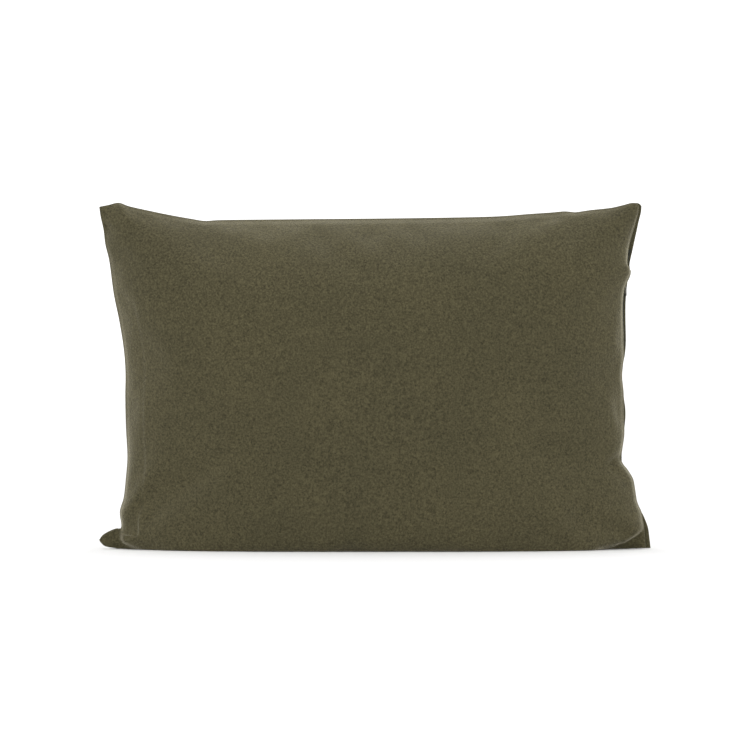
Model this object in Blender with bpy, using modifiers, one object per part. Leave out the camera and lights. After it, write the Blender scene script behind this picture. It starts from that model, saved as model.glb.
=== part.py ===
"""Camp pillow: a fleece cover with a zip along one end, over a foam core in a thin casing.

The pillow stands on its long bottom edge. X runs along it, Y through its thickness with the front
towards -Y, and Z is up. The origin is at the middle of the base. Lengths are metres.
"""

from math import cos, pi, radians, sin

import bmesh
import bpy
from mathutils import Matrix, Vector

# Driving dimensions of the stuffed pillow
END_X = 0.2035  # each end's seam, from the middle, where the ends are straight
CORNER_FLARE_X = 0.0205  # how much further out the corners reach
END_FLARE_START = 0.58  # share of the half height where an end starts to flare
END_FLARE_POWER = 2.0
MID_HEIGHT = 0.274
CORNER_RISE = 0.013  # how much higher the top corners are
TOP_FLARE_START = 0.50  # share of the half length where the top edge starts to rise
TOP_FLARE_POWER = 1.6
BASE_SINK = 0.018  # how far the round bottom would hang below the floor that flattens it
HALF_THICKNESS = 0.054
FULLNESS = 0.80  # 1 is an ellipse in section, and less is squarer
HALF_GAP = 0.00015  # from the seam plane to either panel

# Layers, as depths below the cover's outer face
COVER_THICKNESS = 0.0016
CASING_DEPTH = 0.0040
CASING_THICKNESS = 0.0006
CORE_DEPTH = 0.0074
ZIP_ROOM = 0.0074  # extra depth of the inner layers at the zip end
CELLS_X = 22
CELLS_Z = 16
SMOOTH_ANGLE = radians(50)
THREAD_RADIUS = 0.0004
COVER_SEAM_ENDS = 0.64  # share of the half height where the cover's seam stops, above and below the zip
CASING_SEAM_START = (0.80, -1)  # the casing's seam runs round from here, as shares of the half sizes
CASING_SEAM_END = (1, -0.75)

# Zip, on the seam line of the +X end
ZIP_BOTTOM = 0.046
ZIP_TOP = 0.233
SLOT_HALF_WIDTH = 0.0047
SLOT_REACH = 0.015  # of the cutter, to both sides of the end's seam
COIL_BACK_X = 0.2010
COIL_DEPTH = 0.0020
COIL_PITCH = 0.0020
COIL_HALF_WIDTH = 0.0029
COIL_SPINE = 0.0012
COIL_BOTTOM = ZIP_BOTTOM + 0.003
COIL_TOP = ZIP_TOP - 0.001
FIRST_TOOTH = ZIP_BOTTOM + 0.006
TOOTH_HEIGHT = 0.0007
TAPE_THICKNESS = 0.0005
TAPE_START_Y = 0.0017
TAPE_TURN = ((0, 0), (0.0018, 0), (0.0038, 0.0022), (0.0048, 0.0070))  # back from the teeth, and out
TAPE_OVERRUN = 0.014  # of the tapes past each end of the opening
STITCH_BACK = 0.0033  # from the back of the teeth
STITCH_Y = 0.0066
STITCH_MARGIN = 0.001
STOP_LENGTH = 0.0022
STOP_THICKNESS = 0.0008
STOP_HALF_GAP = 0.0004  # between the two top stops
TOP_STOP_TOP = ZIP_TOP - 0.0012
BOTTOM_STOP_BASE = ZIP_BOTTOM + 0.0034
CLEARANCE = 0.0003

# Slider and its pull, parked at the top of the zip
SLIDER_Z = 0.224
SLIDER_LENGTH = 0.0090
SLIDER_HALF_WIDTH = 0.0042
SLIDER_WALL = 0.0010
SLIDER_BACK_WALL = 0.0008
SLIDER_MOUTH = 0.0023
PIN_X = 0.2061
PIN_RADIUS = 0.0006
EAR_RADIUS = 0.0013
EAR_INNER_Y = 0.0015
EAR_THICKNESS = 0.0009
TAB_LENGTH = 0.0160
TAB_HALF_WIDTH = 0.0024
TAB_THICKNESS = 0.0012
TAB_CORNER = 0.6 * TAB_HALF_WIDTH
TAB_NECK = 0.0008  # from the eye to the full width
TAB_ROOT = 0.0005  # from the pin to where the grip starts inside the eye
EYE_RADIUS = 0.0014
EYE_HALF_WIDTH = 0.0012

# Label, just outside the casing's end
LABEL_SIZE = (0.0004, 0.020, 0.038)
LABEL_X = END_X - CASING_DEPTH - ZIP_ROOM + 0.0012
LABEL_Z = 0.125

MM = 1000  # outlines are filled at millimetre scale, where the fill is exact enough for small teeth


for old in list(bpy.data.objects):
    bpy.data.objects.remove(old, do_unlink=True)

PARTS = bpy.data.collections.new("camp_pillow")
CUTTERS = bpy.data.collections.new("cutters")
for collection in (PARTS, CUTTERS):
    bpy.context.scene.collection.children.link(collection)


# ---------------------------------------------------------------- materials

def material(name, color, roughness, metallic=0.0):
    made = bpy.data.materials.new(name)
    made.use_nodes = True
    shader = made.node_tree.nodes["Principled BSDF"]
    shader.inputs["Base Color"].default_value = (*color, 1.0)
    shader.inputs["Roughness"].default_value = roughness
    shader.inputs["Metallic"].default_value = metallic
    return made


FLEECE_FRONT = material("fleece_front", (0.092, 0.080, 0.045), 0.95)
FLEECE_BACK = material("fleece_back", (0.088, 0.077, 0.044), 0.95)
OLIVE_THREAD = material("olive_thread", (0.070, 0.062, 0.034), 0.70)
ZIP_TAPE = material("zip_tape", (0.045, 0.046, 0.030), 0.85)
ZIP_COIL = material("zip_coil", (0.040, 0.042, 0.028), 0.40)
ZIP_METAL = material("zip_metal", (0.060, 0.056, 0.042), 0.38, 1.0)
CASING_CLOTH = material("casing_cloth", (0.62, 0.61, 0.57), 0.65)
CASING_THREAD = material("casing_thread", (0.70, 0.69, 0.65), 0.70)
FOAM = material("foam", (0.80, 0.76, 0.62), 0.95)
LABEL_CLOTH = material("label_cloth", (0.78, 0.77, 0.74), 0.60)


# ---------------------------------------------------------------- helpers

def add(name, mesh, look, collection=PARTS):
    made = bpy.data.objects.new(name, mesh)
    collection.objects.link(made)
    if look:
        mesh.materials.append(look)
    return made


def mesh_of(bm, name):
    """The closed bmesh as a mesh whose faces point out."""
    bmesh.ops.recalc_face_normals(bm, faces=bm.faces)
    if bm.calc_volume(signed=True) < 0:
        bmesh.ops.reverse_faces(bm, faces=bm.faces)
    mesh = bpy.data.meshes.new(name)
    bm.to_mesh(mesh)
    bm.free()
    return mesh


def box(name, low, high, look, collection=PARTS):
    """A box between two corners, with its origin at its middle."""
    low, high = Vector(low), Vector(high)
    bm = bmesh.new()
    bmesh.ops.create_cube(bm, size=1.0, matrix=Matrix.Diagonal((*(high - low), 1.0)))
    made = add(name, mesh_of(bm, name), look, collection)
    made.location = (low + high) / 2
    return made


def flat_solid(name, loops, half_depth, place, look, collection=PARTS):
    """A flat outline, with any holes as further loops, extruded both ways along its own Z."""
    curve = bpy.data.curves.new(name, "CURVE")
    curve.dimensions = "2D"
    curve.fill_mode = "BOTH"
    curve.extrude = half_depth * MM
    for points in loops:
        spline = curve.splines.new("POLY")
        spline.points.add(len(points) - 1)
        for point, (x, y) in zip(spline.points, points):
            point.co = (x * MM, y * MM, 0, 1)
        spline.use_cyclic_u = True
    drawn = bpy.data.objects.new(name, curve)
    collection.objects.link(drawn)
    bpy.context.view_layer.update()
    evaluated = drawn.evaluated_get(bpy.context.evaluated_depsgraph_get())
    bm = bmesh.new()
    bm.from_mesh(bpy.data.meshes.new_from_object(evaluated))
    bpy.data.objects.remove(drawn, do_unlink=True)
    bmesh.ops.scale(bm, verts=bm.verts, vec=(1 / MM, 1 / MM, 1 / MM))
    bmesh.ops.remove_doubles(bm, verts=bm.verts, dist=1e-6)
    mesh = mesh_of(bm, name)
    mesh.materials.clear()
    made = add(name, mesh, look, collection)
    made.matrix_world = place
    return made


def thread(name, points, look):
    """A sewing thread: a thin tube with filled caps along the points."""
    curve = bpy.data.curves.new(name, "CURVE")
    curve.dimensions = "3D"
    curve.bevel_depth = THREAD_RADIUS
    curve.bevel_resolution = 2
    curve.use_fill_caps = True
    spline = curve.splines.new("POLY")
    spline.points.add(len(points) - 1)
    for point, place in zip(spline.points, points):
        point.co = (*place, 1)
    curve.materials.append(look)
    made = bpy.data.objects.new(name, curve)
    PARTS.objects.link(made)
    return made


def boolean(target, cutter, operation):
    cutter.hide_render = True
    cutter.display_type = "WIRE"
    step = target.modifiers.new(operation.lower() + "_" + cutter.name, "BOOLEAN")
    step.operation = operation
    step.object = cutter
    step.solver = "EXACT"


def plane(along, up, origin):
    """The place of a flat outline whose own X and Y lie along two axes of the pillow."""
    out = Vector(along).cross(Vector(up))
    return Matrix.Translation(origin) @ Matrix((along, up, out)).transposed().to_4x4()


def ring(radius, count=20):
    return [(radius * cos(2 * pi * i / count), radius * sin(2 * pi * i / count)) for i in range(count)]


# ---------------------------------------------------------------- the pillow's form

def flare(share, start, power):
    return max(0.0, (abs(share) - start) / (1.0 - start)) ** power


def pillow_point(s, t, inset, end_room=0.0):
    """A point of the front half at (s, t), each from -1 to 1, for a layer that lies inset deep."""
    u, v = sin(pi * s / 2), sin(pi * t / 2)
    length_share = u
    for _ in range(3):  # settles on the outer form's own shares, so that the layers stay parallel
        rise = flare(length_share, TOP_FLARE_START, TOP_FLARE_POWER)
        top, bottom = MID_HEIGHT + CORNER_RISE * rise, -BASE_SINK * (1.0 - rise)
        z = bottom + inset + (top - bottom - 2 * inset) * (v + 1) / 2
        height_share = 2 * (z - bottom) / (top - bottom) - 1
        outer_reach = END_X + CORNER_FLARE_X * flare(height_share, END_FLARE_START, END_FLARE_POWER)
        reach = outer_reach - inset
        x = -reach + (2 * reach - end_room) * (u + 1) / 2
        length_share = x / outer_reach
    depth = (cos(pi * s / 2) * cos(pi * t / 2)) ** FULLNESS
    return Vector((x, -(HALF_THICKNESS - inset) * depth, max(z, inset)))


def grid_surface(bm, side, inset, end_room, offset=0.0):
    """A grid laid on the form. side is 1 for the front and -1 for the back."""
    made = bmesh.ops.create_grid(bm, x_segments=CELLS_X, y_segments=CELLS_Z, size=1.0)["verts"]
    for vert in made:
        point = pillow_point(vert.co.x, vert.co.y, inset, end_room)
        vert.co = (point.x, side * (point.y - offset), point.z)
    return made


def half_shell(name, side, depth, thickness, end_room, look):
    """One panel of a cover or casing: two offset surfaces joined round the seam by a rim."""
    bm = bmesh.new()
    outer = grid_surface(bm, side, depth, end_room, HALF_GAP)
    rim = [edge for edge in bm.edges if edge.is_boundary]
    inner = grid_surface(bm, side, depth + thickness, end_room, HALF_GAP)
    partner = dict(zip(outer, inner))
    for edge in rim:
        a, b = edge.verts
        bm.faces.new((a, b, partner[b], partner[a]))
    bmesh.ops.triangulate(bm, faces=bm.faces, quad_method="LONG_EDGE")
    mesh = mesh_of(bm, name)
    mesh.shade_smooth()
    mesh.set_sharp_from_angle(angle=SMOOTH_ANGLE)
    return add(name, mesh, look)


def foam_core():
    bm = bmesh.new()
    grid_surface(bm, 1, CORE_DEPTH, ZIP_ROOM)
    mesh = mesh_of(bm, "foam_core")
    mesh.shade_smooth()
    core = add("foam_core", mesh, FOAM)
    mirror = core.modifiers.new("back_half", "MIRROR")
    mirror.use_axis = (False, True, False)
    mirror.merge_threshold = 0.00005
    return core


def seam_path(inset, end_room, stops):
    """Points along the seam plane through the (s, t) stops, about one at each line of the grid."""
    points = []
    for (s0, t0), (s1, t1) in zip(stops, stops[1:]):
        steps = max(1, round(max(abs(s1 - s0) * CELLS_X, abs(t1 - t0) * CELLS_Z) / 2))
        for i in range(steps):
            k = i / steps
            points.append(pillow_point(s0 + (s1 - s0) * k, t0 + (t1 - t0) * k, inset, end_room))
    points.append(pillow_point(*stops[-1], inset, end_room))
    return [(p.x, 0.0, p.z) for p in points]


# ---------------------------------------------------------------- cover, casing and core

def cover():
    slot = box(
        "zip_slot",
        (END_X - SLOT_REACH, -SLOT_HALF_WIDTH, ZIP_BOTTOM),
        (END_X + SLOT_REACH, SLOT_HALF_WIDTH, ZIP_TOP),
        None,
        CUTTERS,
    )
    for name, side, look in (
        ("cover_front_panel", 1, FLEECE_FRONT),
        ("cover_back_panel", -1, FLEECE_BACK),
    ):
        panel = half_shell(name, side, 0.0, COVER_THICKNESS, 0.0, look)
        boolean(panel, slot, "DIFFERENCE")
    depth = (COVER_THICKNESS + CASING_DEPTH) / 2
    stops = [(1, -COVER_SEAM_ENDS), (1, -1), (-1, -1), (-1, 1), (1, 1), (1, COVER_SEAM_ENDS)]
    thread("cover_seam_thread", seam_path(depth, 0.0, stops), OLIVE_THREAD)


def casing():
    for name, side in (("casing_front_panel", 1), ("casing_back_panel", -1)):
        half_shell(name, side, CASING_DEPTH, CASING_THICKNESS, ZIP_ROOM, CASING_CLOTH)
    depth = (CASING_DEPTH + CASING_THICKNESS + CORE_DEPTH) / 2
    stops = [CASING_SEAM_START, (-1, -1), (-1, 1), (1, 1), CASING_SEAM_END]
    thread("casing_seam_thread", seam_path(depth, ZIP_ROOM, stops), CASING_THREAD)


# ---------------------------------------------------------------- zip

def tape(name, side):
    """A tape that starts behind its teeth, turns outwards and lies inside its panel."""
    near = COIL_BACK_X - CLEARANCE
    section = [(near - back, TAPE_START_Y + out) for back, out in TAPE_TURN]
    bm = bmesh.new()
    low = [bm.verts.new((x, -side * y, ZIP_BOTTOM - TAPE_OVERRUN)) for x, y in section]
    edges = [bm.edges.new(pair) for pair in zip(low, low[1:])]
    made = bmesh.ops.extrude_edge_only(bm, edges=edges)["geom"]
    high = [item for item in made if isinstance(item, bmesh.types.BMVert)]
    bmesh.ops.translate(bm, verts=high, vec=(0, 0, ZIP_TOP - ZIP_BOTTOM + 2 * TAPE_OVERRUN))
    mesh = bpy.data.meshes.new(name)
    bm.to_mesh(mesh)
    bm.free()
    strip = add(name, mesh, ZIP_TAPE)
    solid = strip.modifiers.new("thickness", "SOLIDIFY")
    solid.thickness = TAPE_THICKNESS
    solid.offset = 0.0
    solid.use_even_offset = True
    return strip


def coil(name, side, first_tooth):
    """One row of teeth: a spine with a tooth at every pitch, which mesh with the other row's."""
    spine = COIL_HALF_WIDTH - COIL_SPINE
    tip = -spine + CLEARANCE
    loop = [
        (COIL_TOP, spine),
        (COIL_TOP, COIL_HALF_WIDTH),
        (COIL_BOTTOM, COIL_HALF_WIDTH),
        (COIL_BOTTOM, spine),
    ]
    z = first_tooth
    while z + TOOTH_HEIGHT < COIL_TOP - CLEARANCE:
        gullet = (z - (COIL_PITCH - TOOTH_HEIGHT) / 2, spine + CLEARANCE)
        loop += [gullet, (z, spine), (z, tip), (z + TOOTH_HEIGHT, tip), (z + TOOTH_HEIGHT, spine)]
        z += COIL_PITCH
    place = plane((0, 0, 1), (0, -side, 0), (COIL_BACK_X + COIL_DEPTH / 2, 0, 0))
    return flat_solid(name, [loop], COIL_DEPTH / 2, place, ZIP_COIL)


def slider():
    """A channel that holds both rows of teeth, with two ears and a pin for the pull."""
    back = COIL_BACK_X - CLEARANCE
    face = COIL_BACK_X + COIL_DEPTH + CLEARANCE
    wall, wide = SLIDER_WALL, SLIDER_HALF_WIDTH
    half_section = [
        (face + wall, wide),
        (back - SLIDER_BACK_WALL, wide),
        (back - SLIDER_BACK_WALL, SLIDER_MOUTH),
        (back, SLIDER_MOUTH),
        (back, wide - wall),
        (face, wide - wall),
    ]
    loop = half_section + [(x, -y) for x, y in reversed(half_section)]
    place = plane((1, 0, 0), (0, 1, 0), (0, 0, SLIDER_Z))
    body = flat_solid("zipper_slider", [loop], SLIDER_LENGTH / 2, place, ZIP_METAL)

    foot = face + wall / 2 - PIN_X
    ear_loop = [(foot, EAR_RADIUS)]
    ear_loop += [(EAR_RADIUS * sin(a), EAR_RADIUS * cos(a)) for a in (radians(15 * i) for i in range(13))]
    ear_loop += [(foot, -EAR_RADIUS)]
    for side in (1, -1):
        place = plane((1, 0, 0), (0, 0, 1), (PIN_X, side * (EAR_INNER_Y + EAR_THICKNESS / 2), SLIDER_Z))
        ear = flat_solid("ear", [ear_loop], EAR_THICKNESS / 2, place, None, CUTTERS)
        boolean(body, ear, "UNION")
    bm = bmesh.new()
    bmesh.ops.create_cone(
        bm, cap_ends=True, segments=16, radius1=PIN_RADIUS, radius2=PIN_RADIUS,
        depth=2 * EAR_INNER_Y + EAR_THICKNESS, matrix=Matrix.Rotation(pi / 2, 4, "X"),
    )
    pin = add("pin", mesh_of(bm, "pin"), None, CUTTERS)
    pin.location = (PIN_X, 0, SLIDER_Z)
    boolean(body, pin, "UNION")
    return body


def pull_tab():
    """A flat grip that hangs from an eye round the slider's pin. Its origin is on the hinge axis."""
    hinge = (PIN_X, 0, SLIDER_Z)
    rings = [ring(EYE_RADIUS), ring(PIN_RADIUS + CLEARANCE)]
    place = plane((1, 0, 0), (0, 0, 1), hinge)
    eye = flat_solid("zipper_pull_tab", rings, EYE_HALF_WIDTH, place, ZIP_METAL)

    neck = EYE_RADIUS + TAB_NECK
    grip_loop = [
        (-EYE_HALF_WIDTH, -PIN_RADIUS - TAB_ROOT),
        (-EYE_HALF_WIDTH, -neck),
        (-TAB_HALF_WIDTH, -neck),
    ]
    for a in (radians(15 * i) for i in range(7)):
        x = -TAB_HALF_WIDTH + TAB_CORNER * (1 - cos(a))
        z = -TAB_LENGTH + TAB_CORNER * (1 - sin(a))
        grip_loop.append((x, z))
    grip_loop += [(-x, z) for x, z in reversed(grip_loop)]
    place = plane((0, 1, 0), (0, 0, 1), hinge)
    boolean(eye, flat_solid("grip", [grip_loop], TAB_THICKNESS / 2, place, None, CUTTERS), "UNION")
    return eye


def zipper():
    for name, side, offset in (("front", 1, 0.0), ("back", -1, COIL_PITCH / 2)):
        tape("zipper_tape_" + name, side)
        coil("zipper_coil_" + name, side, FIRST_TOOTH + offset)
        x, y = COIL_BACK_X - STITCH_BACK, -side * STITCH_Y
        heights = (ZIP_BOTTOM + STITCH_MARGIN, (ZIP_BOTTOM + ZIP_TOP) / 2, ZIP_TOP - STITCH_MARGIN)
        thread("zipper_stitch_" + name, [(x, y, z) for z in heights], OLIVE_THREAD)


def stops():
    """Crimped stops: one on each row above the slider, and one across both at the bottom."""
    low_x = COIL_BACK_X + COIL_DEPTH + CLEARANCE
    high_x = low_x + STOP_THICKNESS
    for name, side in (("front", -1), ("back", 1)):
        low_y, high_y = sorted((side * STOP_HALF_GAP, side * COIL_HALF_WIDTH))
        box(
            "zipper_top_stop_" + name,
            (low_x, low_y, TOP_STOP_TOP - STOP_LENGTH),
            (high_x, high_y, TOP_STOP_TOP),
            ZIP_METAL,
        )
    box(
        "zipper_bottom_stop",
        (low_x, -COIL_HALF_WIDTH, BOTTOM_STOP_BASE),
        (high_x, COIL_HALF_WIDTH, BOTTOM_STOP_BASE + STOP_LENGTH),
        ZIP_METAL,
    )


def care_label():
    """A blank woven label that lies inside the opening, against the casing's end."""
    thick, wide, tall = LABEL_SIZE
    low = (LABEL_X, -wide / 2, LABEL_Z - tall / 2)
    high = (LABEL_X + thick, wide / 2, LABEL_Z + tall / 2)
    box("care_label", low, high, LABEL_CLOTH)


cover()
casing()
foam_core()
zipper()
stops()
slider()
pull_tab()
care_label()
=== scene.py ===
"""Looks of the camp pillow: a fleece cover with a zip at one end, over a foam core in its casing.

Each cover panel is a grid of points, [row, column, xyz], that starts between the four lines of its
A cloth simulation blows the sewn cover up, and folds and corners are then pressed in along given lines.
"""

from math import pi, radians

import bpy
import numpy as np
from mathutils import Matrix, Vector


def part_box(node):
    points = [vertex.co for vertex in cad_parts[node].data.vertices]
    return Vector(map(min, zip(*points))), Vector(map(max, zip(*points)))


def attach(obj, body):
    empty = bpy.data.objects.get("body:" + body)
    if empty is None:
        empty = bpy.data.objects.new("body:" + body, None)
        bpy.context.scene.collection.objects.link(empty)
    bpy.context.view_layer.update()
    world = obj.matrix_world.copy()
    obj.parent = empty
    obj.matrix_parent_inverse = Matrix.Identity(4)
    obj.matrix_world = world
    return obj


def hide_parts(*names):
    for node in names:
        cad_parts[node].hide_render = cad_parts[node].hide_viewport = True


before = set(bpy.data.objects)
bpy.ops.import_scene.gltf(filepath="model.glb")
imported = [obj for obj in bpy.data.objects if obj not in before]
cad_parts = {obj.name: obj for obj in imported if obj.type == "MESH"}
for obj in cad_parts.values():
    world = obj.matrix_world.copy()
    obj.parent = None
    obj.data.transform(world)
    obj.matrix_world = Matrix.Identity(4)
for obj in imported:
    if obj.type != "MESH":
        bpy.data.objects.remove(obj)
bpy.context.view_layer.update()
scene = bpy.context.scene
MM = 0.001

# The stuffed form, in millimetres
HALF_THICKNESS = -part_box("cover_front_panel")[0].y / MM
BASE_SINK = 30.0  # how far the round bottom would reach below the floor that flattens it
SINK_AT_LEFT, SINK_AT_RIGHT = (0.03, 0.15), (0.85, 0.97)  # shares of the length where that starts and stops
FLOOR_GAP = 0.3  # between the floor and the flattened base
SAG = 8.0  # how far the cover is blown below the floor before the floor flattens it
GROUND_ROOM = 2  # under that, down to the ground of the simulation
END_POWER, TOP_POWER, BASE_POWER = 3.0, 3.2, 9.0  # 2 is an ellipse in section, more is squarer
EDGE_POWER = 0.58  # 0.5 is an ellipse at the seam, more is sharper
ZIP_END_SPAN = 0.2  # share of the length that leads up to the fold beside the zip
ZIP_END_X = 190  # a border point beyond this is at the zip end
BELOW_TEETH, ABOVE_TEETH = (17, 3), (2, 16)  # where the folds open and close, from the ends of the teeth

# The cloth, in millimetres
CLOTH_THICKNESS = 0.9
SEAM_HALF_GAP = 1.3
FLANGE_ROOM = 1.1  # for the folded edges between the two panels
LIP_Y = 6.6  # where the fold beside the zip starts to turn in
WALL_Y = 5.0  # how close that fold's inner wall comes to the zip's middle
WALL_FOOT_X = 198.4  # and how far in that wall reaches
CORNER_AVERAGE = 6.0  # length of border over which its outward direction is averaged
THREAD_DEPTH, THREAD_RADIUS = 1.3, 0.15  # of the cover's seam, from its edge
THREAD_GAP = (30, 252)  # heights between which that thread stops, for the zip

CELLS_U, CELLS_V = 96, 64  # of each panel in the simulation, along its length and its height
FINE_U, FINE_V = 176, 120  # and of the finished panel
EDGE_CROWDING = 0.6  # how much closer the rows and columns get towards the seams
SIM_FRAMES = 20
MOST_MOVE = 5.0  # of a point in the simulation
EVEN_PASSES, EVEN_KEPT = 2, 0.4  # the rest of a point's move is taken from its four neighbours
MOST_PRESSED = 0.7  # share of the depth that a fold may take
TUCK_FADE = 1.5  # a tuck fades out between its reach and this many times its reach

# The layers inside, as shares of the cover along x, y and z, and in millimetres
CASING_SHARES, CORE_SHARES = (0.90, 0.88, 0.945), (0.88, 0.85, 0.93)
LAYER_RAISE = 3.0
LAYER_HALF_GAP = 0.3
CASING_THICKNESS = 0.4

# The zip's tapes and teeth and the label, in millimetres
TAPE_THICKNESS = 0.35
TAPE_STEP = 2.0
TAPE_CLOSED_Y = 0.30  # of the fold that a tape lines, where it is closed
TAPE_OFF_WALL = 0.25
TAPE_OFF_LIP = 0.9
TAPE_INNER_Y, TAPE_BEHIND_TEETH = 0.2, 1.5  # its inner edge, and how much further out behind the teeth
TAPE_FADE = 4  # past the ends of the teeth
TAPE_WALL_X = 199.6  # where a tape starts to line its fold
WIRE_RADIUS, WIRE_PITCH, WIRE_SIDES = 0.33, 2.0, 14  # the last one is points per turn
WIRE_REACH_OUT, WIRE_REACH_IN = 2.9, 0.55
LABEL_THICKNESS = 0.25
LABEL_CURL = 0.9  # radians, of half the width at the free end

# ---------------------------------------------------------------- the seam's outline
# (x, z) in millimetres, each run with both its ends

LEFT_END = [
    (-226.4, 7.5), (-223.2, 11.5), (-217, 15), (-211.8, 16.7), (-209, 16.4), (-208.2, 20.5), (-209.4, 28),
    (-209.1, 33), (-207.4, 38), (-206, 43.5), (-204.5, 58), (-203.2, 76), (-204.4, 100), (-205, 125),
    (-204.8, 145),
    (-206.3, 165), (-210, 188), (-214.5, 210), (-218, 236), (-221.3, 250), (-222.8, 262), (-225.2, 273),
    (-226.4, 281),
]
TOP_EDGE = [
    (-226.4, 281), (-219, 282.4), (-210.5, 284.2), (-202, 281.3), (-185, 277.5), (-168, 274), (-150, 270.8),
    (-139, 269.2), (-126, 270), (-70, 270.6), (0, 271.2), (60, 272), (100, 273), (127, 275),
    (145, 276.2), (157, 277.2), (164.5, 276.4), (178, 278.2), (195, 280), (206, 282.4), (212.5, 284),
    (217.2, 283.6), (218.9, 281.2),
]
RIGHT_END = [
    (226.3, 0.8), (225.5, 8), (224.2, 17.5), (221, 26), (217.4, 33.5), (214.8, 39.5), (213.1, 49),
    (211.5, 57.5), (207, 65), (203.2, 70.8), (202, 76.5), (203.2, 86), (205, 99), (206, 112), (204.4, 126),
    (202.6, 139), (203, 149), (205.2, 158), (206.3, 170), (206, 190), (206.2, 205), (207.6, 219),
    (209.8, 227.5), (209.3, 234), (212, 248), (214.6, 260), (216.5, 269), (218.3, 276), (218.9, 281.2),
]
BOTTOM_EDGE = [
    (-226.4, 7.5), (-224.8, 5), (-221, 2.2), (-211, 0.8), (-200, 0.8), (-100, 0.8), (0, 0.8), (100, 0.8),
    (200, 0.8), (226.3, 0.8),
]

# At the zip end, from the floor up: how far the back panel's fold stands out past the front one's
STRIP_WIDTH = [
    (0, 4.2), (17, 3.4), (25, 1.8), (31, -0.5), (42, -3), (62, -2.5), (69, 0.2), (73, 1.4), (77, 0),
    (86, -1.2), (96, 0.2), (106, 2), (114, 2.4), (124, 1.2), (131, -0.4), (146, -0.6), (156, 1),
    (168, 2.6), (188, 2.9), (205, 3), (216, 2.2), (222, -0.4), (226, -1.2), (229.5, 1.0), (233, 2.4),
    (240, 3.1), (247, 3.6), (254, 3.4), (263, 2.6), (271, 2.0), (279, 2.4), (284, 2.2),
]


def smoothstep(low, high, value):
    k = np.clip((value - low) / (high - low), 0.0, 1.0)
    return k * k * (3 - 2 * k)


def at_places(points, places):
    """Points at fractional places along a smooth curve through the given ones."""
    ends = [2 * points[:1] - points[1:2], points, 2 * points[-1:] - points[-2:-1]]
    padded = np.concatenate(ends)
    start = np.clip(places.astype(int), 0, len(points) - 2)
    k = (places - start).reshape(-1, *[1] * (points.ndim - 1))
    a, b, c, d = (padded[start + n] for n in range(4))
    return b + 0.5 * k * (c - a + k * (2 * a - 5 * b + 4 * c - d + k * (3 * (b - c) + d - a)))


def crowded(count):
    """count + 1 shares from 0 to 1, closer together towards both ends."""
    k = np.linspace(-1, 1, count + 1)
    return 0.5 + 0.5 * ((1 - EDGE_CROWDING) * k + EDGE_CROWDING * np.sin(k * np.pi / 2))


def outline(points, shares):
    """Points at shares of the length of a smooth curve through the given ones."""
    fine = at_places(np.array(points, float), np.linspace(0, len(points) - 1, 40 * len(points)))
    run = np.concatenate([[0], np.cumsum(np.linalg.norm(np.diff(fine, axis=0), axis=1))])
    return np.stack([np.interp(shares * run[-1], run, fine[:, k]) for k in range(2)], axis=1)


def from_table(table, value):
    """A smooth reading of a table of (place, amount)."""
    table = np.array(table, float)
    fine = np.linspace(table[0, 0], table[-1, 0], 600)
    amount = np.interp(fine, table[:, 0], table[:, 1])
    window = np.hanning(15) / np.hanning(15).sum()
    amount = np.convolve(np.pad(amount, len(window) // 2, mode="edge"), window, mode="valid")
    return np.interp(value, fine, amount)


def zip_share(z):
    """1 along the zip, and 0 towards the corners, where the two panels meet."""
    low, high = (corner.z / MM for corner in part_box("zipper_coil_front"))
    opened = smoothstep(low - BELOW_TEETH[0], low - BELOW_TEETH[1], z)
    return opened * (1 - smoothstep(high + ABOVE_TEETH[0], high + ABOVE_TEETH[1], z))


# ---------------------------------------------------------------- the cover's form

def start_form():
    """Both panels before the simulation: front, back."""
    u, v = crowded(CELLS_U), crowded(CELLS_V)
    left, right = outline(LEFT_END, v), outline(RIGHT_END, v)
    bottom, top = outline(BOTTOM_EDGE, u), outline(TOP_EDGE, u)
    u, v = u[None, :, None], v[:, None, None]
    sunk = bottom.copy()
    along = u[0, :, 0]
    sunk[:, 1] -= BASE_SINK * smoothstep(*SINK_AT_LEFT, along) * (1 - smoothstep(*SINK_AT_RIGHT, along))
    corners = [[left[0], right[0]], [left[-1], right[-1]]]
    flat = (1 - u) * left[:, None] + u * right[:, None] + (1 - v) * sunk[None] + v * top[None]
    flat -= (1 - u) * (1 - v) * corners[0][0] + u * (1 - v) * corners[0][1]
    flat -= (1 - u) * v * corners[1][0] + u * v * corners[1][1]
    across = 1 - np.abs(2 * u - 1)[..., 0] ** END_POWER
    up = (2 * v - 1)[..., 0]
    rise = 1 - np.abs(up) ** np.where(up > 0, TOP_POWER, BASE_POWER)
    share = (across * rise) ** EDGE_POWER

    z = np.maximum(flat[..., 1], -SAG)
    strip = from_table(STRIP_WIDTH, z[:, -1])
    near_end = np.clip((u[..., 0] - (1 - ZIP_END_SPAN)) / ZIP_END_SPAN, 0, 1) ** 2
    panels = []
    for side, set_back in ((-1, np.maximum(strip, 0)), (1, np.maximum(-strip, 0))):
        x = flat[..., 0] - near_end * set_back[:, None]
        edge = near_end * (SEAM_HALF_GAP + (LIP_Y - SEAM_HALF_GAP) * zip_share(z[:, -1:]))
        panels.append(np.stack([x, side * (edge + (HALF_THICKNESS - edge) * share), z], axis=-1))
    return panels


def sewn_mesh(front, back):
    """One mesh of both panels, which share their points at the left end, the top and the bottom."""
    rows, columns = front.shape[:2]
    index_front = np.arange(rows * columns).reshape(rows, columns)
    index_back = np.full((rows, columns), -1)
    for border in (np.s_[:, 0], np.s_[0], np.s_[-1]):
        index_back[border] = index_front[border]
    free = index_back < 0
    index_back[free] = rows * columns + np.arange(free.sum())
    points = np.vstack([front.reshape(-1, 3), back[free]])
    faces = np.concatenate([grid_faces(index_front, False), grid_faces(index_back, True)])
    return points, faces, index_front, index_back


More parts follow.
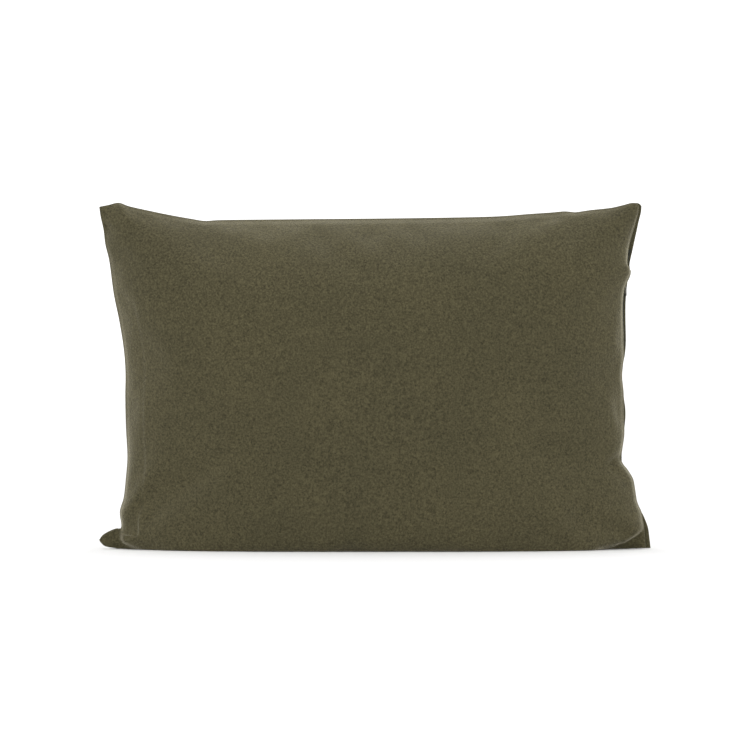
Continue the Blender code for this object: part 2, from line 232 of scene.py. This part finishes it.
def grid_faces(index, flip):
    corners = [index[:-1, :-1], index[:-1, 1:], index[1:, 1:], index[1:, :-1]]
    faces = np.stack(corners, axis=-1).reshape(-1, 4)
    return faces[:, ::-1] if flip else faces


def inflate(front, back):
    """Blows the sewn cover up against the floor with its seam held, and returns both panels."""
    points, faces, index_front, index_back = sewn_mesh(front, back)
    mesh = bpy.data.meshes.new("cover_form")
    mesh.from_pydata((points * MM).tolist(), [], faces.tolist())
    cover = bpy.data.objects.new("cover_form", mesh)
    scene.collection.objects.link(cover)
    borders = [index[b] for index in (index_front, index_back) for b in (0, -1, np.s_[:, 0], np.s_[:, -1])]
    seam = cover.vertex_groups.new(name="seam")
    seam.add(np.unique(np.concatenate(borders)).tolist(), 1.0, "REPLACE")

    bpy.ops.mesh.primitive_plane_add(size=2.0, location=(0, 0, -(SAG + GROUND_ROOM) * MM))
    ground = bpy.context.object
    ground.modifiers.new("ground", "COLLISION")
    ground.collision.thickness_outer = 0.001
    ground.collision.cloth_friction = 20.0

    cloth = cover.modifiers.new("cloth", "CLOTH")
    settings = cloth.settings
    settings.vertex_group_mass = "seam"
    settings.quality = 6
    settings.mass = 0.25
    settings.tension_stiffness = settings.compression_stiffness = 20.0
    settings.shear_stiffness = 8.0
    settings.bending_stiffness = 1.0
    settings.air_damping = 2.0
    settings.shrink_min = -0.005
    settings.use_pressure = True
    settings.uniform_pressure_force = 4.0
    settings.effector_weights.gravity = 0.0
    cloth.collision_settings.distance_min = 0.001
    cloth.point_cache.frame_start, cloth.point_cache.frame_end = 1, SIM_FRAMES
    for number in range(1, SIM_FRAMES + 1):
        scene.frame_set(number)
    evaluated = cover.evaluated_get(bpy.context.evaluated_depsgraph_get())
    blown = np.zeros(len(points) * 3, np.float32)
    evaluated.data.vertices.foreach_get("co", blown)
    blown = blown.reshape(-1, 3).astype(float) / MM
    scene.frame_set(1)
    bpy.data.objects.remove(cover, do_unlink=True)
    bpy.data.objects.remove(ground, do_unlink=True)

    move = blown - points
    length = np.linalg.norm(move, axis=1, keepdims=True)
    print("cloth moved, mm: median %.2f, most %.2f" % (np.median(length), length.max()))
    move *= np.minimum(1, MOST_MOVE / np.maximum(length, 1e-9))
    return front + evened(move[index_front]), back + evened(move[index_back])


def evened(move):
    """The moves of a panel's points without the sharpest creases between neighbours."""
    for _ in range(EVEN_PASSES):
        inner = move[1:-1, 1:-1]
        beside = move[:-2, 1:-1] + move[2:, 1:-1] + move[1:-1, :-2] + move[1:-1, 2:]
        move[1:-1, 1:-1] = EVEN_KEPT * inner + (1 - EVEN_KEPT) / 4 * beside
    return move


def refined(panel):
    """The panel with more rows and columns, flattened where it meets the floor."""
    rows, columns = panel.shape[:2]
    panel = at_places(panel, np.linspace(0, rows - 1, FINE_V + 1))
    panel = at_places(panel.swapaxes(0, 1), np.linspace(0, columns - 1, FINE_U + 1))
    panel = panel.swapaxes(0, 1).copy()
    panel[..., 2] = np.maximum(panel[..., 2], FLOOR_GAP)
    return panel


# ---------------------------------------------------------------- folds

def distance_to(panel, line):
    """How far each point is from a line of (x, z, amount), the nearest amount, and the side."""
    place = panel[..., [0, 2]]
    best = np.full(place.shape[:2], np.inf)
    amount, side = np.zeros_like(best), np.zeros_like(best)
    line = np.array(line, float)
    for a, b in zip(line, line[1:]):
        run = b[:2] - a[:2]
        k = np.clip(((place - a[:2]) @ run) / (run @ run), 0, 1)
        off = place - (a[:2] + k[..., None] * run)
        far = np.linalg.norm(off, axis=-1)
        nearer = far < best
        best = np.where(nearer, far, best)
        amount = np.where(nearer, a[2] + k * (b[2] - a[2]), amount)
        side = np.where(nearer, np.sign(run[0] * off[..., 1] - run[1] * off[..., 0]), side)
    return best, amount, side


def press(panel, width, line):
    """Presses a fold in along a line of (x, z, depth), or raises a ridge where the depth is below 0."""
    far, depth, _ = distance_to(panel, line)
    depth = depth * np.exp(-((far / width) ** 2))
    room = np.abs(panel[..., 1])
    panel[..., 1] *= 1 - np.minimum(depth, MOST_PRESSED * room) / np.maximum(room, 1e-6)


def tuck(panel, width, reach, line, kept):
    """Folds the panel under on the right of a line of (x, z, share): there it keeps part of its depth."""
    far, share, side = distance_to(panel, line)
    beyond = smoothstep(-width, width, -side * far) * (1 - smoothstep(reach, TUCK_FADE * reach, far))
    panel[..., 1] *= 1 - beyond * share * (1 - kept)


def shape_corners(front, back):
    """The folds that the stuffed cover takes at its corners and beside the zip."""
    # lower corner at the zip end: the panel curls over its own corner
    curl = [
        (178, 1.2, 0), (194.8, 3, 0.8), (205.5, 6.2, 1), (213.7, 11.2, 1), (219.5, 15.3, 1), (224, 19, 0.6),
    ]
    tuck(front, 1.0, 14, curl, 0.3)
    press(front, 3.0, [(190, 4, 0), (205.5, 9, -0.4), (213.7, 14, -0.5), (218, 18, -0.3)])
    # the notch where the zip's lower end pulls the cloth in
    press(front, 2.4, [(204.5, 77.5, 3.0), (194.8, 72, 3.2), (189.9, 67, 2.0), (178, 62, 0)])
    press(front, 5.0, [(206, 86, -0.8), (196, 82, -1.4), (184, 74, 0)])
    press(back, 3.0, [(204.5, 77, 2.6), (192, 80, 2.0), (180, 86, 0)])
    # faint folds under the slider
    press(front, 2.2, [(208.8, 220.8, 0.5), (199.7, 201, 1.3), (195, 193, 0)])
    press(front, 2.4, [(203, 208, -0.5), (196, 192, -1.3), (185, 180.5, 0)])
    press(front, 3.0, [(202, 203, 0), (192, 186, 1.0), (178, 172, 0)])
    # top corner away from the zip
    press(front, 2.0, [(-223, 266, 2.0), (-219, 264, 1.4), (-208, 258, 0)])
    press(front, 3.5, [(-210, 283, -1.0), (-203, 272, -1.6), (-192, 258, 0)])
    # lower corner away from the zip: the stuffed part bulges over the flat tip of the corner
    bulge = [
        (-208.9, 20, 0), (-208.6, 14, 1), (-207.9, 8, 1), (-205.8, 5.2, 1), (-200, 2.6, 0.6), (-190, 1, 0),
    ]
    tuck(front, 1.6, 13, bulge, 0.36)


# ---------------------------------------------------------------- edges

# The rings of a fold, from the panel's edge inwards: how far out, and how far from the middle plane
CLOSED_FOLD = [(0.25, 1.05), (0.30, 0.70), (0.05, 0.38), (-0.7, 0.14), (-2.4, 0.02), (-5.0, 0.02)]
OPEN_FOLD = [(0.30, 6.25), (0.38, 5.75), (0.10, 5.25), (-0.7, WALL_Y), (-2.4, WALL_Y), (-6.0, WALL_Y)]
LIP_RINGS = 3  # the rest of them lie on the fold's inner wall
FOLD_PAINTED_SHADE = [0.0, 0.0, 0.05, 0.4, 0.9, 1.0]  # painted shade of each ring beside the zip: the inside of the fold is coloured darker, as the groove between the panels is in shade
SEAM_PAINTED_SHADE = 0.25  # share of that painted shade along the seam


def border_loop(rows, columns):
    """Indices of a panel's border points, counter-clockwise from its lower left corner."""
    index = np.arange(rows * columns).reshape(rows, columns)
    return np.concatenate([index[0, :-1], index[:-1, -1], index[-1, :0:-1], index[:0:-1, 0]])


def border_points(panel):
    return panel.reshape(-1, 3)[border_loop(*panel.shape[:2])]


def beside_zip(loop):
    """1 for the points of a border along the zip, and 0 for those along the seam."""
    return (loop[:, 0] > ZIP_END_X) * zip_share(loop[:, 2])


def outward(loop):
    """Unit directions out of a closed loop of (x, z) points, turning smoothly round its corners."""
    ahead = np.roll(loop, -1, axis=0) - loop
    step = np.linalg.norm(ahead, axis=1)
    normal = np.stack([ahead[:, 1], -ahead[:, 0]], axis=1)
    run = np.concatenate([[0], np.cumsum(step)[:-1]])
    apart = np.abs(run[:, None] - run[None])
    apart = np.minimum(apart, step.sum() - apart)
    near = np.exp(-((apart / CORNER_AVERAGE) ** 2))
    normal = near @ normal
    return normal / np.linalg.norm(normal, axis=1, keepdims=True)


def folded_edges(panel, side):
    """Rings of points that carry the panel's edge round its fold and in along the seam or the zip."""
    loop = border_points(panel)
    out = outward(loop[:, [0, 2]])
    at_zip = beside_zip(loop)
    rings = []
    for number, (closed, opened) in enumerate(zip(CLOSED_FOLD, OPEN_FOLD)):
        push = closed[0] + at_zip * (opened[0] - closed[0])
        if number >= LIP_RINGS:
            wall = (loop[:, 0] - WALL_FOOT_X) * (number - LIP_RINGS + 1) / (len(OPEN_FOLD) - LIP_RINGS)
            push = np.where(at_zip > 0, push + at_zip * (-wall - push), push)
        away = closed[1] + at_zip * (opened[1] - closed[1])
        x, z = loop[:, 0] + push * out[:, 0], loop[:, 2] + push * out[:, 1]
        rings.append(np.stack([x, side * away, np.maximum(z, FLOOR_GAP)], axis=1))
    return rings


def part_edges(panel, side):
    """Sets a panel's own border apart from the other panel's, by the seam's fold or the zip's."""
    rows, columns = (np.arange(n) for n in panel.shape[:2])
    inside = np.minimum(np.minimum(rows, rows[::-1])[:, None], np.minimum(columns, columns[::-1]))
    least = SEAM_HALF_GAP + FLANGE_ROOM * np.minimum(1, inside / 2)
    panel[..., 1] = side * np.maximum(np.abs(panel[..., 1]), least)
    for border in (np.s_[0], np.s_[-1], np.s_[:, 0]):
        panel[border][..., 1] = side * SEAM_HALF_GAP
    panel[:, -1, 1] = side * (SEAM_HALF_GAP + (LIP_Y - SEAM_HALF_GAP) * zip_share(panel[:, -1, 2]))


def mesh_object(name, points, faces, look):
    """A smooth mesh object from points in millimetres."""
    mesh = bpy.data.meshes.new(name)
    mesh.from_pydata((np.asarray(points) * MM).tolist(), [], np.asarray(faces).tolist())
    mesh.materials.append(look)
    mesh.shade_smooth()
    made = bpy.data.objects.new(name, mesh)
    scene.collection.objects.link(made)
    return made


def thicken(made, thickness, offset):
    """Gives a sheet its thickness in millimetres, all behind its faces at offset -1, half of it at 0."""
    solid = made.modifiers.new("thickness", "SOLIDIFY")
    solid.thickness = thickness * MM
    solid.offset = offset


def panel_object(name, panel, side, look):
    """A panel with its folded edges as one thick cloth mesh. Its folds carry a painted shade: their rings
    are coloured darker where the groove between the panels is in shade.
    """
    rows, columns = panel.shape[:2]
    rings = folded_edges(panel, side)
    count = len(rings[0])
    points = np.concatenate([panel.reshape(-1, 3), *rings])
    index = np.arange(rows * columns).reshape(rows, columns)
    loops = [border_loop(rows, columns)]
    loops += [rows * columns + k * count + np.arange(count) for k in range(len(rings))]
    strips = []
    for inner, outer in zip(loops, loops[1:]):
        strips.append(np.stack([inner, outer, np.roll(outer, -1), np.roll(inner, -1)], axis=1))
    strips = np.concatenate(strips)
    faces = np.concatenate([grid_faces(index, side > 0), strips[:, ::-1] if side > 0 else strips])
    made = mesh_object(name, points, faces, look)
    # painted shade inside the folds, darkest deep in the groove beside the zip, kept as a point attribute
    share = SEAM_PAINTED_SHADE + (1 - SEAM_PAINTED_SHADE) * beside_zip(border_points(panel))
    inside = np.zeros(len(points))
    inside[rows * columns:] = np.outer(FOLD_PAINTED_SHADE, share).ravel()
    made.data.attributes.new("painted_fold_shade", "FLOAT", "POINT").data.foreach_set("value", inside)
    thicken(made, CLOTH_THICKNESS, -1.0)
    return made


# ---------------------------------------------------------------- the zip and what is inside

def tube(name, path, radius, look):
    """A capped tube with six sides along a path of points in millimetres."""
    curve = bpy.data.curves.new(name, "CURVE")
    curve.dimensions = "3D"
    curve.bevel_depth = radius * MM
    curve.bevel_resolution = 1
    curve.use_fill_caps = True
    spline = curve.splines.new("POLY")
    spline.points.add(len(path) - 1)
    spline.points.foreach_set("co", np.hstack([np.asarray(path) * MM, np.ones((len(path), 1))]).ravel())
    spline.use_smooth = True
    curve.materials.append(look)
    made = bpy.data.objects.new(name, curve)
    scene.collection.objects.link(made)
    return made


def lip_x(panel, z):
    """How far out the panel's edge at the zip end is, at given heights."""
    return np.interp(z, panel[:, -1, 2], panel[:, -1, 0])


def zip_tape(name, panel, side, look):
    """A woven tape: from behind its teeth it turns out and lines its panel's fold."""
    low, high = (corner.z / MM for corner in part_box("zipper_tape_front"))
    z = np.arange(low, high + 1, TAPE_STEP)
    wall = TAPE_CLOSED_Y + (WALL_Y - TAPE_CLOSED_Y) * zip_share(z) - TAPE_OFF_WALL
    teeth_low, teeth_high = (corner.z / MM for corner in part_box("zipper_coil_front"))
    behind_teeth = smoothstep(teeth_low - TAPE_FADE, teeth_low, z)
    behind_teeth *= 1 - smoothstep(teeth_high, teeth_high + TAPE_FADE, z)
    inner = TAPE_INNER_Y + TAPE_BEHIND_TEETH * behind_teeth
    top = lip_x(panel, z) - TAPE_OFF_LIP
    foot = [(inner, 200.6), (inner, 199.3), (2.3, 198.7), (3.4, 198.5), (4.3, 198.8)]
    columns = [(np.minimum(y, wall), np.full_like(z, x)) for y, x in foot]
    columns += [(wall, TAPE_WALL_X + (top - TAPE_WALL_X) * k) for k in np.linspace(0, 1, 8)]
    points = np.stack([np.stack([x, side * y, z], axis=-1) for y, x in columns], axis=1)
    rows, count = points.shape[:2]
    index = np.arange(rows * count).reshape(rows, count)
    made = mesh_object(name, points.reshape(-1, 3), grid_faces(index, side < 0), look)
    thicken(made, TAPE_THICKNESS, 0.0)
    return made


def zip_coil(name, side, look):
    """A row of teeth as it is really made: one nylon wire wound into a flat coil."""
    low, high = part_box("zipper_coil_front" if side < 0 else "zipper_coil_back")
    middle = (low + high) / (2 * MM)
    half_x = (high.x - low.x) / (2 * MM) - WIRE_RADIUS
    reach_out, reach_in = WIRE_REACH_OUT - WIRE_RADIUS, WIRE_REACH_IN - WIRE_RADIUS
    half_y, middle_y = (reach_out + reach_in) / 2, (reach_out - reach_in) / 2
    start = low.z / MM + WIRE_RADIUS + (0.0 if side < 0 else WIRE_PITCH / 2)
    count = int((high.z / MM - WIRE_RADIUS - start) / WIRE_PITCH * WIRE_SIDES)
    angles = np.arange(count) * 2 * pi / WIRE_SIDES
    x = middle.x + half_x * np.cos(angles)
    y = side * (middle_y + half_y * np.sin(angles))
    z = start + angles / (2 * pi) * WIRE_PITCH
    return tube(name, np.stack([x, y, z], axis=1), WIRE_RADIUS, look)


def finished_copy(name, node, body, look, bevel):
    """A CAD piece again, with its edges rounded off."""
    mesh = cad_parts[node].data.copy()
    mesh.name = name
    mesh.materials.clear()
    mesh.materials.append(look)
    made = bpy.data.objects.new(name, mesh)
    scene.collection.objects.link(made)
    edge = made.modifiers.new("rounding", "BEVEL")
    edge.width = bevel * MM
    edge.segments = 2
    edge.limit_method = "ANGLE"
    edge.angle_limit = radians(35)
    mesh.shade_smooth()
    normals = made.modifiers.new("flat_faces", "WEIGHTED_NORMAL")
    normals.keep_sharp = True
    belongs(made, node, body)
    return made


def care_label(look):
    """A blank woven label on the casing, its free edges curling a little."""
    low, high = (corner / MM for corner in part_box("care_label"))
    across = np.linspace(-1, 1, 13)
    down = np.linspace(0, 1, 21)
    turn = LABEL_CURL * down[:, None] ** 2
    half_width = (high.y - low.y) / 2
    arc = np.maximum(turn, 1e-3)
    y = half_width * np.sin(arc * across) / arc
    x = high.x + half_width * (1 - np.cos(arc * across)) / arc
    z = high.z - (high.z - low.z) * down[:, None] + 0 * y
    points = np.stack([x, y, z], axis=-1)
    index = np.arange(y.size).reshape(y.shape)
    made = mesh_object("woven_care_label", points.reshape(-1, 3), grid_faces(index, True), look)
    thicken(made, LABEL_THICKNESS, 0.0)
    belongs(made, "care_label", "pillow")


def belongs(piece, node, body):
    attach(piece, body)
    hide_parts(node)


def shrunk(panel, side, shares):
    """A layer inside the cover: its panel drawn in towards the middle and closed at its edges."""
    inner = panel * np.array(shares)
    inner[..., 2] = np.maximum(inner[..., 2], 0) + LAYER_RAISE
    for border in (np.s_[0], np.s_[-1], np.s_[:, 0], np.s_[:, -1]):
        inner[border][..., 1] = side * LAYER_HALF_GAP
    return inner


def seam_thread(name, panel, depth, radius, look, skip_zip):
    """The thread inside a seam, along the ends, the top and the bottom, with or without the zip's part."""
    loop = border_points(panel)
    path = loop.copy()
    path[:, [0, 2]] -= depth * outward(loop[:, [0, 2]])
    path[:, 1] = 0
    path[:, 2] = np.maximum(path[:, 2], FLOOR_GAP)
    if skip_zip:
        low, high = THREAD_GAP
        skipped = np.where((path[:, 0] > ZIP_END_X) & (path[:, 2] > low) & (path[:, 2] < high))[0]
        path = np.concatenate([path[skipped[-1] + 1:], path[:skipped[0]]])
    return tube(name, path, radius, look)


# ---------------------------------------------------------------- materials

def new_material(name):
    made = bpy.data.materials.new(name)
    made.use_nodes = True
    nodes, links = made.node_tree.nodes, made.node_tree.links
    return made, nodes, links, nodes["Principled BSDF"]


def noise(nodes, links, coordinates, scale, detail=2.0, roughness=0.5):
    node = nodes.new("ShaderNodeTexNoise")
    node.inputs["Scale"].default_value = scale
    node.inputs["Detail"].default_value = detail
    node.inputs["Roughness"].default_value = roughness
    links.new(coordinates, node.inputs["Vector"])
    return node.outputs["Fac"]


def bands(nodes, links, coordinates, direction, scale, distortion=0.0):
    node = nodes.new("ShaderNodeTexWave")
    node.wave_type = "BANDS"
    node.bands_direction = direction
    node.inputs["Scale"].default_value = scale
    node.inputs["Distortion"].default_value = distortion
    links.new(coordinates, node.inputs["Vector"])
    return node.outputs["Fac"]


def ramp(nodes, links, value, stops):
    node = nodes.new("ShaderNodeValToRGB")
    elements = node.color_ramp.elements
    while len(elements) < len(stops):
        elements.new(0.5)
    for element, (place, color) in zip(elements, stops):
        element.position = place
        element.color = (*color, 1.0)
    links.new(value, node.inputs["Fac"])
    return node.outputs["Color"]


def mix(nodes, links, factor, a, b, kind="MIX"):
    node = nodes.new("ShaderNodeMix")
    node.data_type = "RGBA"
    node.blend_type = kind
    if isinstance(factor, float):
        node.inputs["Factor"].default_value = factor
    else:
        links.new(factor, node.inputs["Factor"])
    for socket, value in ((node.inputs[6], a), (node.inputs[7], b)):
        if isinstance(value, tuple):
            socket.default_value = (*value, 1.0)
        else:
            links.new(value, socket)
    return node.outputs[2]


def bump(nodes, links, height, distance, strength=1.0, normal=None):
    node = nodes.new("ShaderNodeBump")
    node.inputs["Strength"].default_value = strength
    node.inputs["Distance"].default_value = distance
    links.new(height, node.inputs["Height"])
    if normal is not None:
        links.new(normal, node.inputs["Normal"])
    return node.outputs["Normal"]


def object_place(nodes):
    return nodes.new("ShaderNodeTexCoord").outputs["Object"]


def tone(color, share):
    return tuple(share * channel for channel in color)


def fleece(name, share=1.0):
    """Brushed micro fleece: short mottled nap in small tufts, with a soft sheen."""
    made, nodes, links, shader = new_material(name)
    place = object_place(nodes)
    tufts = noise(nodes, links, place, 620, 3.0, 0.7)
    fibres = noise(nodes, links, place, 2300, 2.0, 0.6)
    patches = noise(nodes, links, place, 16, 3.0, 0.5)
    olive = (0.0655, 0.0580, 0.0304)
    base = ramp(nodes, links, tufts, [
        (0.30, tone(olive, 0.45 * share)), (0.50, tone(olive, share)), (0.70, tone(olive, 1.6 * share)),
    ])
    shade = ramp(nodes, links, patches, [(0.35, (0.93, 0.935, 0.94)), (0.65, (1.05, 1.045, 1.04))])
    color = mix(nodes, links, 1.0, base, shade, "MULTIPLY")
    # painted shade: inside the folds the colour is mixed towards near black, for the shade in the groove
    # between the panels
    painted_fold_shade = nodes.new("ShaderNodeAttribute")
    painted_fold_shade.attribute_name = "painted_fold_shade"
    color = mix(nodes, links, painted_fold_shade.outputs["Fac"], color, (0.024, 0.025, 0.014))
    links.new(color, shader.inputs["Base Color"])
    shader.inputs["Roughness"].default_value = 0.95
    shader.inputs["Specular IOR Level"].default_value = 0.10
    shader.inputs["Sheen Weight"].default_value = 0.82
    shader.inputs["Sheen Roughness"].default_value = 0.40
    shader.inputs["Sheen Tint"].default_value = (0.92, 0.86, 0.66, 1.0)
    coarse = bump(nodes, links, tufts, 0.0006, 0.6)
    links.new(bump(nodes, links, fibres, 0.00015, 0.5, coarse), shader.inputs["Normal"])
    return made


def woven(name, color, pitch, roughness, sheen=0.0, contrast=0.25):
    """A plain weave of threads of that pitch, in metres."""
    made, nodes, links, shader = new_material(name)
    place = object_place(nodes)
    scale = 1 / (pitch * 20) * pi  # a band texture of scale 1 repeats every pi / 10
    warp = bands(nodes, links, place, "Z", scale)
    weft = bands(nodes, links, place, "X", scale)
    cross = mix(nodes, links, 1.0, warp, weft, "MULTIPLY")
    patches = noise(nodes, links, place, 120, 3.0)
    base = ramp(nodes, links, cross, [(0.0, tone(color, 1 - contrast)), (1.0, tone(color, 1 + contrast))])
    shade = ramp(nodes, links, patches, [(0.3, (0.90,) * 3), (0.7, (1.08,) * 3)])
    links.new(mix(nodes, links, 1.0, base, shade, "MULTIPLY"), shader.inputs["Base Color"])
    shader.inputs["Roughness"].default_value = roughness
    shader.inputs["Sheen Weight"].default_value = sheen
    links.new(bump(nodes, links, cross, pitch * 0.3, 0.7), shader.inputs["Normal"])
    return made


def spun(name, color, roughness=0.6):
    """Twisted thread."""
    made, nodes, links, shader = new_material(name)
    place = object_place(nodes)
    twist = bands(nodes, links, place, "DIAGONAL", 500, 0.4)
    base = ramp(nodes, links, twist, [(0.1, tone(color, 0.7)), (0.8, tone(color, 1.2))])
    links.new(base, shader.inputs["Base Color"])
    shader.inputs["Roughness"].default_value = roughness
    links.new(bump(nodes, links, twist, 0.0001, 0.8), shader.inputs["Normal"])
    return made


def nylon(name, color):
    """Glossy drawn nylon, slightly uneven."""
    made, nodes, links, shader = new_material(name)
    place = object_place(nodes)
    streaks = noise(nodes, links, place, 900, 3.0)
    base = ramp(nodes, links, streaks, [(0.3, tone(color, 0.8)), (0.7, tone(color, 1.25))])
    links.new(base, shader.inputs["Base Color"])
    gloss = ramp(nodes, links, streaks, [(0.3, (0.30,) * 3), (0.7, (0.48,) * 3)])
    links.new(gloss, shader.inputs["Roughness"])
    links.new(bump(nodes, links, streaks, 0.00003, 0.5), shader.inputs["Normal"])
    return made


def metal(name):
    """Dark plated zinc, polished unevenly by handling."""
    made, nodes, links, shader = new_material(name)
    place = object_place(nodes)
    wear = noise(nodes, links, place, 420, 4.0, 0.6)
    grain = noise(nodes, links, place, 3200, 2.0)
    base = ramp(nodes, links, wear, [(0.40, (0.075, 0.072, 0.062)), (0.72, (0.20, 0.19, 0.165))])
    links.new(base, shader.inputs["Base Color"])
    gloss = ramp(nodes, links, wear, [(0.35, (0.46,) * 3), (0.7, (0.28,) * 3)])
    links.new(gloss, shader.inputs["Roughness"])
    shader.inputs["Metallic"].default_value = 1.0
    links.new(bump(nodes, links, grain, 0.00002, 0.5), shader.inputs["Normal"])
    return made


def foam_look(name):
    """Open-cell foam."""
    made, nodes, links, shader = new_material(name)
    place = object_place(nodes)
    cells = nodes.new("ShaderNodeTexVoronoi")
    cells.inputs["Scale"].default_value = 900
    links.new(place, cells.inputs["Vector"])
    pores = cells.outputs["Distance"]
    base = ramp(nodes, links, pores, [(0.1, (0.62, 0.57, 0.43)), (0.6, (0.84, 0.80, 0.67))])
    links.new(base, shader.inputs["Base Color"])
    shader.inputs["Roughness"].default_value = 0.95
    links.new(bump(nodes, links, pores, 0.0005, 0.8), shader.inputs["Normal"])
    return made


# ---------------------------------------------------------------- the pieces

front, back = start_form()
front, back = inflate(front, back)
inner_front, inner_back = front.copy(), back.copy()
front, back = refined(front), refined(back)
shape_corners(front, back)
for panel, side in ((front, -1), (back, 1)):
    part_edges(panel, side)

cover_front = panel_object("fleece_cover_front", front, -1, fleece("fleece_front"))
cover_back = panel_object("fleece_cover_back", back, 1, fleece("fleece_back", 0.97))
belongs(cover_front, "cover_front_panel", "pillow")
belongs(cover_back, "cover_back_panel", "pillow")
thread_look = spun("olive_thread", (0.060, 0.054, 0.030))
cover_thread = seam_thread(
    "cover_seam_stitching", front, THREAD_DEPTH, THREAD_RADIUS, thread_look, skip_zip=True)
belongs(cover_thread, "cover_seam_thread", "pillow")

casing_look = woven("casing_cloth", (0.62, 0.61, 0.57), 0.0006, 0.65, 0.1, 0.1)
index = np.arange(inner_front.shape[0] * inner_front.shape[1]).reshape(inner_front.shape[:2])
for name, inner, side in (("front", inner_front, -1), ("back", inner_back, 1)):
    layer = shrunk(inner, side, CASING_SHARES)
    casing = mesh_object("casing_" + name, layer.reshape(-1, 3), grid_faces(index, side > 0), casing_look)
    thicken(casing, CASING_THICKNESS, -1.0)
    belongs(casing, "casing_" + name + "_panel", "pillow")
casing_edge = shrunk(inner_front, -1, CASING_SHARES)
casing_thread_look = spun("casing_thread", (0.6, 0.59, 0.55))
casing_thread = seam_thread("casing_stitching", casing_edge, 0.0, 0.25, casing_thread_look, skip_zip=False)
belongs(casing_thread, "casing_seam_thread", "pillow")

core_front, core_back = shrunk(inner_front, -1, CORE_SHARES), shrunk(inner_back, 1, CORE_SHARES)
core_back[:, -1] = core_front[:, -1]
core_points, core_faces, _, _ = sewn_mesh(core_front, core_back)
core = mesh_object("foam_filling", core_points, core_faces, foam_look("foam"))
weld = core.modifiers.new("close_end", "WELD")
weld.merge_threshold = 0.0001
belongs(core, "foam_core", "pillow")

tape_look = woven("zip_tape", (0.020, 0.022, 0.013), 0.0005, 0.8, 0.05)
coil_look = nylon("zip_coil", (0.030, 0.032, 0.020))
metal_look = metal("zip_metal")
for name, panel, side in (("front", front, -1), ("back", back, 1)):
    tape = zip_tape("woven_tape_" + name, panel, side, tape_look)
    belongs(tape, "zipper_tape_" + name, "pillow")
    coil = zip_coil("wound_coil_" + name, side, coil_look)
    belongs(coil, "zipper_coil_" + name, "pillow")
    finished_copy("top_stop_" + name, "zipper_top_stop_" + name, "pillow", metal_look, 0.2)
    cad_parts["zipper_stitch_" + name].material_slots[0].material = thread_look
finished_copy("bottom_stop", "zipper_bottom_stop", "pillow", metal_look, 0.2)
finished_copy("slider_body", "zipper_slider", "slider", metal_look, 0.18)
finished_copy("pull_tab_grip", "zipper_pull_tab", "pull_tab", metal_look, 0.18)
care_label(woven("label_cloth", (0.72, 0.71, 0.67), 0.0004, 0.5, 0.0, 0.08))


# ---------------------------------------------------------------- stage, light and camera

def floor():
    bpy.ops.mesh.primitive_plane_add(size=30.0, location=(0, 0, 0))
    made = bpy.context.object
    made.name = "floor"
    look, nodes, links, shader = new_material("floor_paper")
    place = nodes.new("ShaderNodeTexCoord").outputs["Object"]
    tint = ramp(nodes, links, noise(nodes, links, place, 3.0), [(0.3, (0.845,) * 3), (0.7, (0.855,) * 3)])
    links.new(tint, shader.inputs["Base Color"])
    shader.inputs["Roughness"].default_value = 0.9
    made.data.materials.append(look)


def soft_light(name, place, target, size, watts):
    light = bpy.data.lights.new(name, "AREA")
    light.shape = "RECTANGLE"
    light.size, light.size_y = size
    light.energy = watts
    made = bpy.data.objects.new(name, light)
    made.location = place
    made.rotation_euler = (Vector(target) - Vector(place)).to_track_quat("-Z", "Y").to_euler()
    scene.collection.objects.link(made)


def studio():
    world = bpy.data.worlds.new("studio")
    world.use_nodes = True
    world.node_tree.nodes["Background"].inputs["Color"].default_value = (1, 1, 1, 1)
    world.node_tree.nodes["Background"].inputs["Strength"].default_value = 1.30
    scene.world = world
    soft_light("overhead", place=(0, 0.1, 1.9), target=(0, 0, 0.1), size=(1.6, 1.2), watts=4)
    scene.view_settings.view_transform = "Standard"


def camera():
    frame_width, distance, height = 0.6165, 3.0, 0.1429
    data = bpy.data.cameras.new("camera")
    data.sensor_width = 36.0
    data.lens = data.sensor_width * distance / frame_width
    data.clip_end = 50.0
    made = bpy.data.objects.new("camera", data)
    made.location = (0.0, -distance, height)
    made.rotation_euler = (radians(90), 0, 0)
    scene.collection.objects.link(made)
    scene.camera = made


floor()
studio()
camera()
